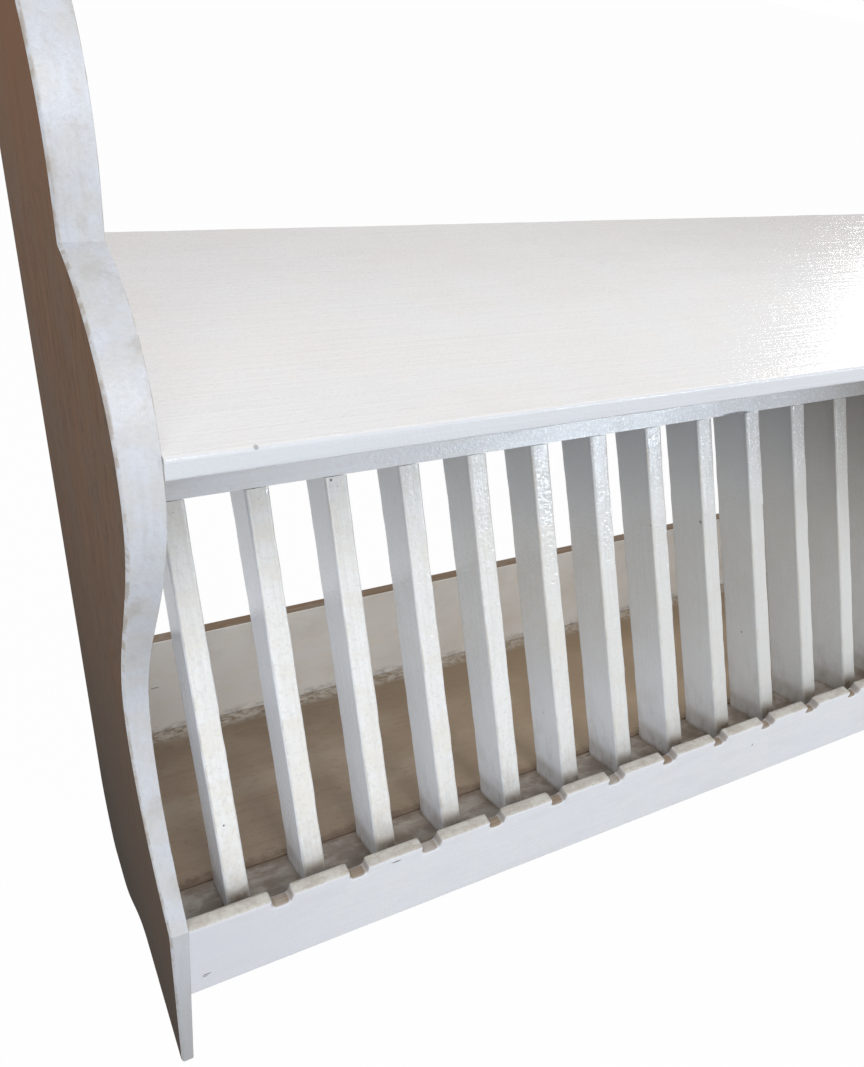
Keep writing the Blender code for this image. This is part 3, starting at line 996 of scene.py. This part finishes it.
@dataclass
class Grille:
    """The leaning slats and the rail on their top ends.

    The gap is what each piece laps into its neighbours, and the spare length is what the floor cuts off.
    """

    count: int = 16
    width: float = 0.0165
    depth: float = 0.037
    lean: float = SLAT_LEAN
    waver: float = 0.0012
    spare: float = 0.03
    rail_height: float = 0.042
    rail_rows: int = 60
    gap: float = 0.0003
    paint: Finish = SLAT_PAINT
    rail_paint: Finish = TOP_RAIL_PAINT

    def up(self) -> Vector:
        """Direction up along a slat."""
        return Vector((0.0, math.sin(self.lean), math.cos(self.lean)))

    def into(self) -> Vector:
        """Direction from a slat's front face to its back."""
        return Vector((0.0, math.cos(self.lean), -math.sin(self.lean)))

    def build(self) -> None:
        """Model and dress the slats and their rail."""
        material = self.paint.make("slat_paint", self.lean)
        for index in range(self.count):
            node = f"slat_{index + 1:02d}"
            piece = self.slat(node)
            dress(piece, material)
            stand_for(piece, node)
        rail = self.rail()
        dress(rail, self.rail_paint.make("top_rail_paint", self.lean))
        stand_for(rail, "top_rail")

    def slat(self, node: str) -> Piece:
        """Model one slat in its place.

        Args:
            node: The CAD node that it stands for.

        Returns:
            The slat.
        """
        low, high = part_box(node)
        middle = (low.x + high.x) / 2
        top_back = Vector((middle, high.y, high.z - self.depth * math.sin(self.lean)))
        top_back += self.gap * self.up()
        long = (high.z - low.z) / math.cos(self.lean) + self.spare
        down = Vector((0.0, -math.sin(TRAY_PLANE.slope), -math.cos(TRAY_PLANE.slope)))
        floor = Vector((middle, TRAY_PLANE.back_y, TRAY_PLANE.back_z))
        return Board(
            name=f"{node}_painted",
            size=(self.width, self.depth, long),
            centre=top_back - self.up() * (long / 2) - self.into() * (self.depth / 2),
            lean=self.lean,
            waver=self.waver,
            cuts=[(floor, down)],
        ).build()

    def rail(self) -> Piece:
        """Model the rail that joins the slats' top ends.

        Returns:
            The rail.
        """
        low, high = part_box("top_rail")
        return Board(
            name="top_rail_painted",
            size=(high.x - low.x + 2 * self.gap, self.depth, self.rail_height + self.gap),
            centre=(low + high) / 2 - self.up() * (self.gap / 2),
            lean=self.lean,
            arris=0.0,
            rows=self.rail_rows,
            waver=0.0,
        ).build()


@dataclass
class Shelf:
    """The level board above the grille."""

    gap: float = 0.0003
    arris: float = 0.0022
    rows: int = 90
    waver: float = 0.0006
    paint: Finish = SHELF_PAINT

    def build(self) -> None:
        """Model and dress the shelf."""
        piece = Board.fill("shelf", self.gap, self.arris, self.rows, self.waver)
        dress(piece, self.paint.make("shelf_paint"))
        stand_for(piece, "shelf")


@dataclass
class Tray:
    """Sloping floor, slat sill, notched front rail and back rail."""

    tuck: float = 0.0020
    rail_arris: float = 0.0014
    rail_rows: int = 60
    rail_waver: float = 0.0003
    notch_count: int = 15
    notch_pitch: float = 0.054
    notch_offset: float = 0.021
    notch_width: float = 0.012
    notch_depth: float = NOTCH_DEPTH
    notch_flare: float = 1.18
    notch_stray: float = 0.0015
    notch_spread: float = 0.12
    stray_draw: Point = (1.7, 3.1)
    spread_draw: Point = (2.3, 7.7)
    cut_past: float = 0.004
    voxel: float = 0.0016
    smooth_factor: float = 0.5
    smooth_rounds: int = 4
    wear: float = 0.0016
    wear_reach: float = 0.009
    wear_broad: float = 38.0
    wear_fine: float = 190.0
    wear_fine_part: float = 0.3

    def build(self) -> None:
        """Model the notched rail and dress the tray's boards."""
        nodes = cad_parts
        rail = self.front_rail()
        dress(rail, FRONT_RAIL_PAINT.make("front_rail_paint"))
        stand_for(rail, "front_rail")
        dress(nodes["back_rail"], BACK_RAIL_PAINT.make("back_rail_paint"))
        dress(nodes["slat_sill"], SILL_PAINT.make("sill_paint", -TRAY_PLANE.slope))
        dress(nodes["tray_floor"], TRAY_WOOD.make("tray_wood"))
        for name in ("back_rail", "slat_sill", "tray_floor"):
            LOG.info("%s dressed", name)

    def front_rail(self) -> Piece:
        """Model the notched rail, its teeth rounded and chipped by plates.

        Returns:
            The rail.
        """
        low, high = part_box("front_rail")
        rail = Board.fill("front_rail", self.tuck, self.rail_arris, self.rail_rows, self.rail_waver)
        cutter = self.notches(low, high)
        apply_modifier(rail, "BOOLEAN", operation="DIFFERENCE", solver="EXACT", object=cutter)
        bpy.data.objects.remove(cutter, do_unlink=True)
        apply_modifier(rail, "REMESH", mode="VOXEL", voxel_size=self.voxel)
        apply_modifier(rail, "SMOOTH", factor=self.smooth_factor, iterations=self.smooth_rounds)
        self.wear_teeth(rail.data, high.z)
        bpy.ops.object.shade_smooth()
        return rail

    def notches(self, low: Vector, high: Vector) -> Piece:
        """Make the cutter for the notches, each a little different as if sawn by eye.

        Args:
            low: Lowest corner of the rail.
            high: Highest corner of the rail.

        Returns:
            The cutter.
        """
        bpy.ops.object.select_all(action="DESELECT")
        first = -(self.notch_count / 2) * self.notch_pitch + self.notch_offset
        deep = high.y - low.y + 2 * self.cut_past
        tall = self.notch_depth + self.cut_past
        blocks = []
        for index in range(self.notch_count):
            draws = (self.stray_draw, self.spread_draw)
            stray, spread = (noise.noise(Vector((index * pace, row, 0.0))) for pace, row in draws)
            spread = 1.0 + self.notch_spread * spread
            place = (low + high) / 2
            place.x = first + index * self.notch_pitch + self.notch_stray * stray
            place.z = high.z - self.notch_depth * spread + tall / 2
            bpy.ops.mesh.primitive_cube_add(size=1.0, location=place)
            block = bpy.context.object
            block.scale = (self.notch_width * spread, deep, tall)
            bpy.ops.object.transform_apply(location=True, rotation=True, scale=True)
            for vertex in block.data.vertices:
                if vertex.co.z > place.z:
                    vertex.co.x = place.x + (vertex.co.x - place.x) * self.notch_flare
            blocks.append(block)
        for block in blocks:
            block.select_set(True)
        bpy.context.view_layer.objects.active = blocks[0]
        bpy.ops.object.join()
        return bpy.context.object

    def wear_teeth(self, mesh: Mesh, top: float) -> None:
        """Rub down the teeth of the rail unevenly.

        Args:
            mesh: The rail's mesh.
            top: Height of the rail's top edge.
        """
        for vertex in mesh.vertices:
            share = (vertex.co.z - top + self.wear_reach) / self.wear_reach
            if share <= 0.0:
                continue
            share = min(share, 1.0) ** 2
            broad, fine = (0.5 + 0.5 * noise.noise(vertex.co * k) for k in (self.wear_broad, self.wear_fine))
            depth = (1.0 - self.wear_fine_part) * broad + self.wear_fine_part * fine
            vertex.co.z -= share * self.wear * depth


@dataclass
class Sides:
    """The two shaped side boards.

    Depths are measured out from the wall, and heights from the piece that each one names. A bend says how
    far the handles at a curve's two ends reach towards the other end, as shares of the way there.
    """

    ear_thickness: float = 0.0205
    tail_thickness: float = 0.0075
    ear_depth: float = 0.175
    ear_radius: float = 0.081
    ear_rise: float = 0.152
    shoulder_rise: float = 0.054
    shoulder_bend: Bend = ((0.54, 0.06), (0.0, 0.58))
    belly_depth: float = 0.258
    belly_drop: float = 0.025
    belly_bend: Bend = ((0.0, 0.27), (0.0, 0.32))
    waist_depth: float = 0.198
    waist_rise: float = 0.125
    waist_bend: Bend = ((0.0, 0.42), (0.55, 0.24))
    front_foot_drop: float = 0.094
    front_foot_length: float = 0.096
    foot_bend: Bend = ((0.35, 0.0), (0.32, 0.0))
    tail_drop: float = 0.108
    tail_length: float = 0.067
    corner_depth: float = 0.035
    corner_height: float = 0.075
    corner_bend: Bend = ((0.45, 0.0), (0.0, 0.36))
    steps: int = 24
    inner_arris: float = 0.0006
    outer_arris: float = 0.0024
    touch: float = 1e-5
    wash_facing: float = 0.95
    smooth_angle: float = math.radians(30)
    paint: Finish = SIDE_PAINT
    wash: Finish = OUTER_WASH

    def build(self) -> None:
        """Model and dress the side boards."""
        outline = self.outline()
        paint = self.paint.make("side_paint")
        wash = self.wash.make("side_wash")
        for name, outward in (("left_side", -1.0), ("right_side", 1.0)):
            low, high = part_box(name)
            inner = high.x if outward < 0.0 else low.x
            piece = self.board(f"{name}_painted", outline, inner, outward)
            dress(piece, paint)
            piece.data.materials.append(wash)
            for face in piece.data.polygons:
                face.material_index = 1 if face.normal.x * outward > self.wash_facing else 0
            stand_for(piece, name)

    def curve(self, start: Point, end: Point, bend: Bend) -> List[Point]:
        """Points of a cubic curve.

        Args:
            start: First point.
            end: Last point.
            bend: How far the handles reach.

        Returns:
            The points, both ends included.
        """
        after = tuple(s + k * (e - s) for s, e, k in zip(start, end, bend[0]))
        before = tuple(e - k * (e - s) for s, e, k in zip(start, end, bend[1]))
        points = []
        for index in range(self.steps + 1):
            t = index / self.steps
            s = 1.0 - t
            shares = (s**3, 3 * s * s * t, 3 * s * t * t, t**3)
            corners = (start, after, before, end)
            points.append(tuple(sum(k * c[axis] for k, c in zip(shares, corners)) for axis in (0, 1)))
        return points

    def outline(self) -> List[Point]:
        """Outline of a side board as depth and height, from the back of the ear round to the tail.

        Returns:
            The points.
        """
        shelf_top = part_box("shelf")[1].z
        rail_low, rail_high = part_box("front_rail")
        front = rail_low.y
        ear_top = shelf_top + self.ear_rise
        shoulder = (-self.ear_depth, shelf_top + self.shoulder_rise)
        belly = (-self.belly_depth, shelf_top - self.belly_drop)
        waist = (-self.waist_depth, rail_high.z + self.waist_rise)
        hip = (front, rail_high.z)
        foot = (front + self.front_foot_length, rail_low.z - self.front_foot_drop)
        tail = (-self.tail_length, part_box("back_rail")[0].z - self.tail_drop)
        corner = (-self.corner_depth, tail[1])
        corner_top = (0.0, tail[1] + self.corner_height)
        points: List[Point] = [(0.0, ear_top)]
        for index in range(self.steps + 1):
            angle = math.radians(90.0 + 90.0 * index / self.steps)
            depth = self.ear_radius * (1.0 + math.cos(angle)) - self.ear_depth
            points.append((depth, ear_top + self.ear_radius * (math.sin(angle) - 1.0)))
        points += self.curve(shoulder, belly, self.shoulder_bend)
        points += self.curve(belly, waist, self.belly_bend)[1:]
        points += self.curve(waist, hip, self.waist_bend)[1:]
        points.append((front, foot[1]))
        points += self.curve(foot, tail, self.foot_bend)
        points += self.curve(corner, corner_top, self.corner_bend)
        return points

    def board(self, name: str, outline: List[Point], inner: float, outward: float) -> Piece:
        """Model one side board: a flat face on the outline, extruded, tapered to the tail and softened.

        Args:
            name: The piece's name.
            outline: Depth and height of each point.
            inner: Where its inner face lies along the rack.
            outward: 1 where the outer face looks along +X, and -1 where it looks along -X.

        Returns:
            The board.
        """
        bpy.ops.object.select_all(action="DESELECT")
        bpy.ops.mesh.primitive_circle_add(vertices=len(outline), fill_type="NGON")
        piece = bpy.context.object
        piece.name = name
        piece.data.name = name
        for vertex, (y, z) in zip(piece.data.vertices, outline):
            vertex.co = (inner, y, z)
        bpy.ops.object.mode_set(mode="EDIT")
        bpy.ops.mesh.select_all(action="SELECT")
        step = (outward * self.ear_thickness, 0.0, 0.0)
        bpy.ops.mesh.extrude_region_move(TRANSFORM_OT_translate={"value": step})
        bpy.ops.mesh.select_all(action="SELECT")
        bpy.ops.mesh.normals_make_consistent(inside=False)
        bpy.ops.object.mode_set(mode="OBJECT")
        heights = [z for _, z in outline]
        low, high = min(heights), max(heights)
        for vertex in piece.data.vertices:
            if abs(vertex.co.x - inner) > 0.5 * self.ear_thickness:
                share = (vertex.co.z - low) / (high - low)
                thickness = self.tail_thickness + share * (self.ear_thickness - self.tail_thickness)
                vertex.co.x = inner + outward * thickness
        for width, on_rim in (
            (self.inner_arris, lambda point: abs(point.x - inner) < self.touch),
            (self.outer_arris, lambda point: abs(point.x - inner) > 0.5 * self.tail_thickness),
        ):
            pick_edges(piece.data, lambda first, last: on_rim(first) and on_rim(last))
            bpy.ops.mesh.bevel(offset=width, segments=ARRIS_SEGMENTS, affect="EDGES")
            bpy.ops.object.mode_set(mode="OBJECT")
        smooth(piece, self.smooth_angle)
        return piece


@dataclass
class Nails:
    """Nails and brads."""

    wire: Finish = NAIL_WIRE

    def build(self) -> None:
        """Dress every nail and brad."""
        material = self.wire.make("nail_wire")
        for name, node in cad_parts.items():
            if "nail" in name or "brad" in name:
                dress(node, material)
                LOG.info("%s dressed", name)


@dataclass(frozen=True)
class Lamp:
    """A soft rectangular lamp.

    Attributes:
        name: Its name.
        place: Where it stands.
        size: Its width and height.
        power: Power in watts.
        colour: Colour of its light.
    """

    name: str
    place: Triple
    size: Point
    power: float
    colour: Colour = (1.0, 1.0, 1.0)

    def build(self, target: Triple) -> None:
        """Add the lamp.

        Args:
            target: The point that it faces.
        """
        data = bpy.data.lights.new(self.name, "AREA")
        data.shape = "RECTANGLE"
        data.size, data.size_y = self.size
        data.energy = self.power
        data.color = self.colour
        lamp = bpy.data.objects.new(self.name, data)
        bpy.context.scene.collection.objects.link(lamp)
        lamp.location = self.place
        away = Vector(self.place) - Vector(target)
        lamp.rotation_euler = away.to_track_quat("Z", "Y").to_euler()


@dataclass
class Studio:
    """Camera, lights and floor."""

    eye: Triple = (-0.51281, -0.53974, 0.57013)
    azimuth: float = math.radians(31.6152)
    fall: float = math.radians(38.2860)
    roll: float = math.radians(8.9020)
    focal_px: float = 867.54
    centre_px: Tuple[float, float] = (386.385, 578.076)
    frame_px: Tuple[int, int] = (864, 1067)
    sensor: float = 36.0
    clip_start: float = 0.01
    floor_z: float = -1.1
    floor_size: float = 60.0
    floor_colour: Colour = (0.82, 0.82, 0.82)
    floor_share: float = 0.97
    white: Colour = (1.0, 1.0, 1.0)
    sky: Colour = (0.95, 0.97, 1.0)
    sky_strength: float = 0.62
    target: Triple = (-0.1, -0.12, 0.2)
    lamps: Tuple[Lamp, ...] = (
        Lamp("key", (-0.25, -1.6, 1.85), (0.6, 0.6), 14.0),
        Lamp("left_fill", (-0.98, -1.27, 0.80), (0.8, 0.8), 6.2, (0.84, 0.92, 1.0)),
        Lamp("front_window", (1.08, -1.44, 0.99), (0.55, 0.12), 7.5, (0.80, 0.90, 1.0)),
        Lamp("far_window", (1.89, 0.74, 1.20), (0.42, 0.36), 7.5, (0.97, 0.98, 1.0)),
    )

    def build(self) -> None:
        """Set up the view."""
        self.camera()
        self.world()
        self.floor()
        for lamp in self.lamps:
            lamp.build(self.target)
        bpy.context.scene.view_settings.view_transform = "Standard"

    def camera(self) -> None:
        """Place the camera where the photograph was taken."""
        level_part = math.cos(self.fall)
        forward = Vector((math.sin(self.azimuth) * level_part, math.cos(self.azimuth) * level_part, 0.0))
        forward.z = -math.sin(self.fall)
        level = forward.cross(Vector((0.0, 0.0, 1.0))).normalized()
        rising = level.cross(forward)
        right = math.cos(self.roll) * level + math.sin(self.roll) * rising
        up = -math.sin(self.roll) * level + math.cos(self.roll) * rising
        data = bpy.data.cameras.new("photo_camera")
        camera = bpy.data.objects.new("photo_camera", data)
        bpy.context.scene.collection.objects.link(camera)
        turn = Matrix((right, up, -forward)).transposed().to_4x4()
        camera.matrix_world = Matrix.Translation(Vector(self.eye)) @ turn
        wide, high = self.frame_px
        data.sensor_width = self.sensor
        data.lens = self.focal_px / high * self.sensor
        data.shift_x = (wide / 2 - self.centre_px[0]) / high
        data.shift_y = (self.centre_px[1] - high / 2) / high
        data.clip_start = self.clip_start
        bpy.context.scene.camera = camera

    def world(self) -> None:
        """White where the camera looks, and a soft plain light elsewhere."""
        world = bpy.data.worlds.new("studio_world")
        bpy.context.scene.world = world
        world.use_nodes = True
        kit = NodeKit(world.node_tree)
        sky = {"Color": rgba(self.sky), "Strength": self.sky_strength}
        light = kit.value("ShaderNodeBackground", None, sky)
        white = kit.value("ShaderNodeBackground", None, {"Color": rgba(self.white), "Strength": 1.0})
        kit.show(light, white, 1.0, "ShaderNodeOutputWorld")

    def floor(self) -> None:
        """A pale floor far below the rack, which hangs on a wall."""
        bpy.ops.object.select_all(action="DESELECT")
        bpy.ops.mesh.primitive_plane_add(size=self.floor_size, location=(0.0, 0.0, self.floor_z))
        floor = bpy.context.object
        floor.name = "studio_floor"
        kit = MaterialKit("floor_pale")
        pale = kit.value("ShaderNodeBsdfDiffuse", None, {"Color": rgba(self.floor_colour)})
        white = kit.value("ShaderNodeEmission", None, {"Color": rgba(self.white), "Strength": 1.0})
        kit.show(pale, white, self.floor_share, "ShaderNodeOutputMaterial")
        dress(floor, kit.material)


def main() -> None:
    """Build every sub-assembly."""
    logging.basicConfig(level=logging.INFO, format="%(name)s: %(message)s")
    for assembly in (Studio(), Sides(), Shelf(), Grille(), Tray(), Nails()):
        assembly.build()
        LOG.info("%s done", type(assembly).__name__)
    bpy.context.view_layer.update()


if __name__ == "__main__":
    main()
